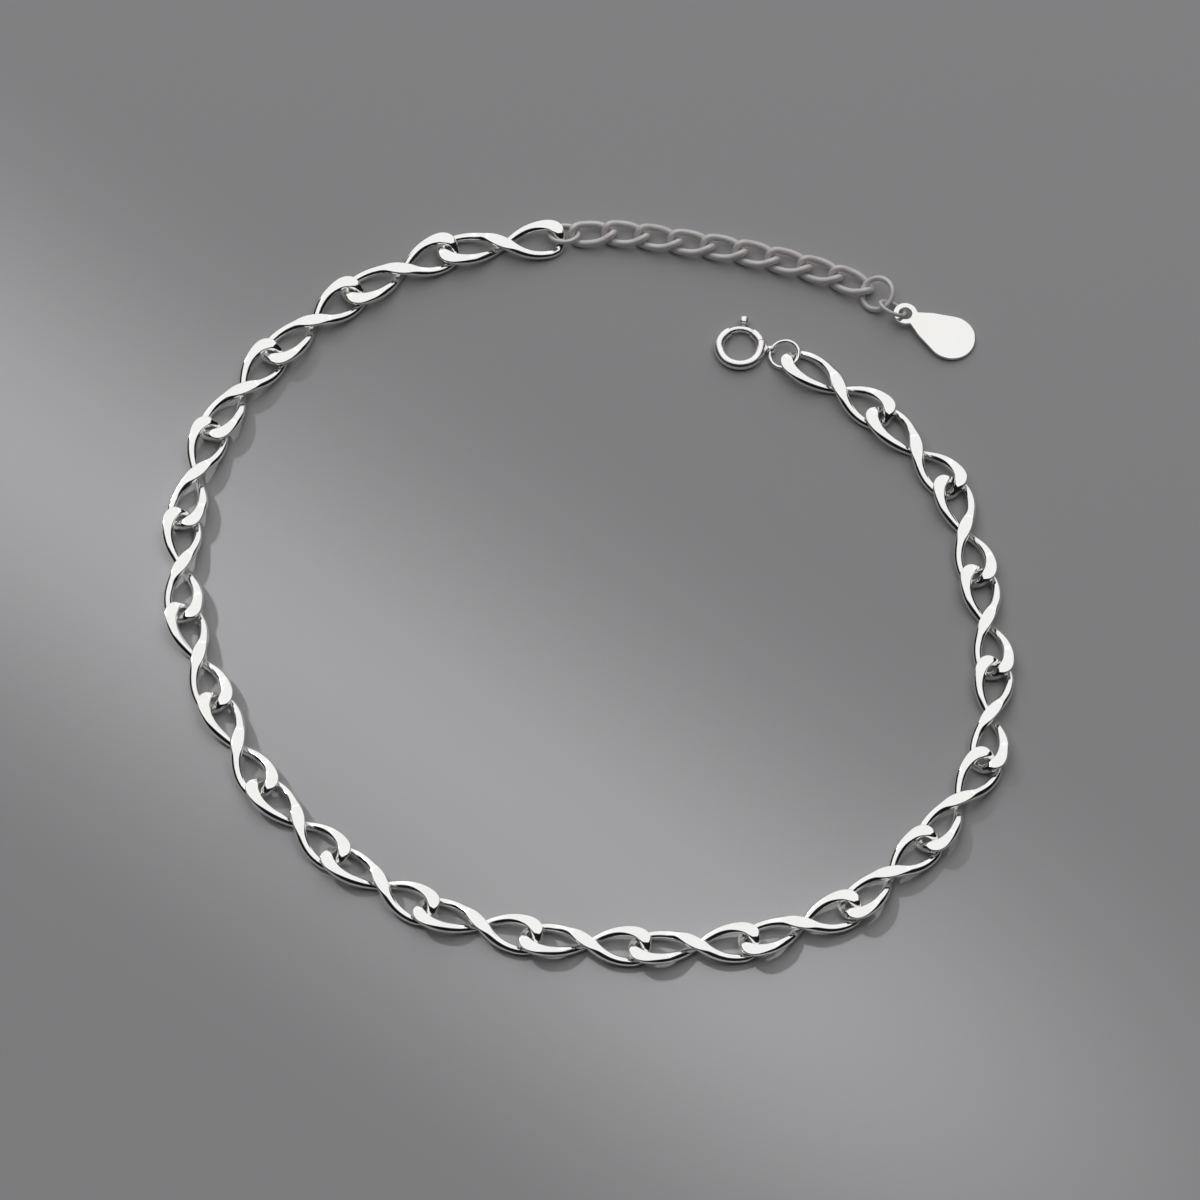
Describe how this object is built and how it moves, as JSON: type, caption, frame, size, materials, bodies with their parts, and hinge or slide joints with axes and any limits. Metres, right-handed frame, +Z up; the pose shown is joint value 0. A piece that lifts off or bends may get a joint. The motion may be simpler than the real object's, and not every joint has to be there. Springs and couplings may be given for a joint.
{
  "type": "anklet",
  "caption": "Silver anklet of flattened figure-eight curb links lying as an open loop, with a spring ring clasp and a short extender chain that ends in a teardrop tag.",
  "frame": {"origin": "middle of the footprint of everything that lies there, at the surface that it lies on", "axes": "+Z up, +X to the picture's right, +Y away from the camera"},
  "size_m": [0.0828, 0.0838, 0.0023],
  "materials": {
    "bright_silver": "polished",
    "dull_silver": "satin"
  },
  "bodies": {
    "anklet": {"clasp_ring": "bright_silver", "clasp_jump_ring": "bright_silver", "figure_link_01": "bright_silver", "figure_link_02": "bright_silver", "figure_link_03": "bright_silver", "figure_link_04": "bright_silver", "figure_link_05": "bright_silver", "figure_link_06": "bright_silver", "figure_link_07": "bright_silver", "figure_link_08": "bright_silver", "figure_link_09": "bright_silver", "figure_link_10": "bright_silver", "figure_link_11": "bright_silver", "figure_link_12": "bright_silver", "figure_link_13": "bright_silver", "figure_link_14": "bright_silver", "figure_link_15": "bright_silver", "figure_link_16": "bright_silver", "figure_link_17": "bright_silver", "figure_link_18": "bright_silver", "figure_link_19": "bright_silver", "figure_link_20": "bright_silver", "figure_link_21": "bright_silver", "extender_ring": "dull_silver", "extender_link_01": "dull_silver", "extender_link_02": "dull_silver", "extender_link_03": "dull_silver", "extender_link_04": "dull_silver", "extender_link_05": "dull_silver", "extender_link_06": "dull_silver", "extender_link_07": "dull_silver", "extender_link_08": "dull_silver", "extender_link_09": "dull_silver", "end_link": "dull_silver", "tag_ring": "dull_silver", "drop_tag": "bright_silver"},
    "clasp_bolt": {"clasp_bolt": "bright_silver"}
  },
  "joints": [
    {"name": "clasp_bolt_turn", "type": "hinge", "parent": "anklet", "child": "clasp_bolt", "pos_m": [0.01498, 0.02753, 0.0005], "axis": [0, 0, -1], "range_deg": [0, 62], "stiffness_Nm_per_rad": 0.0015, "springref_deg": -20.05}
  ]
}
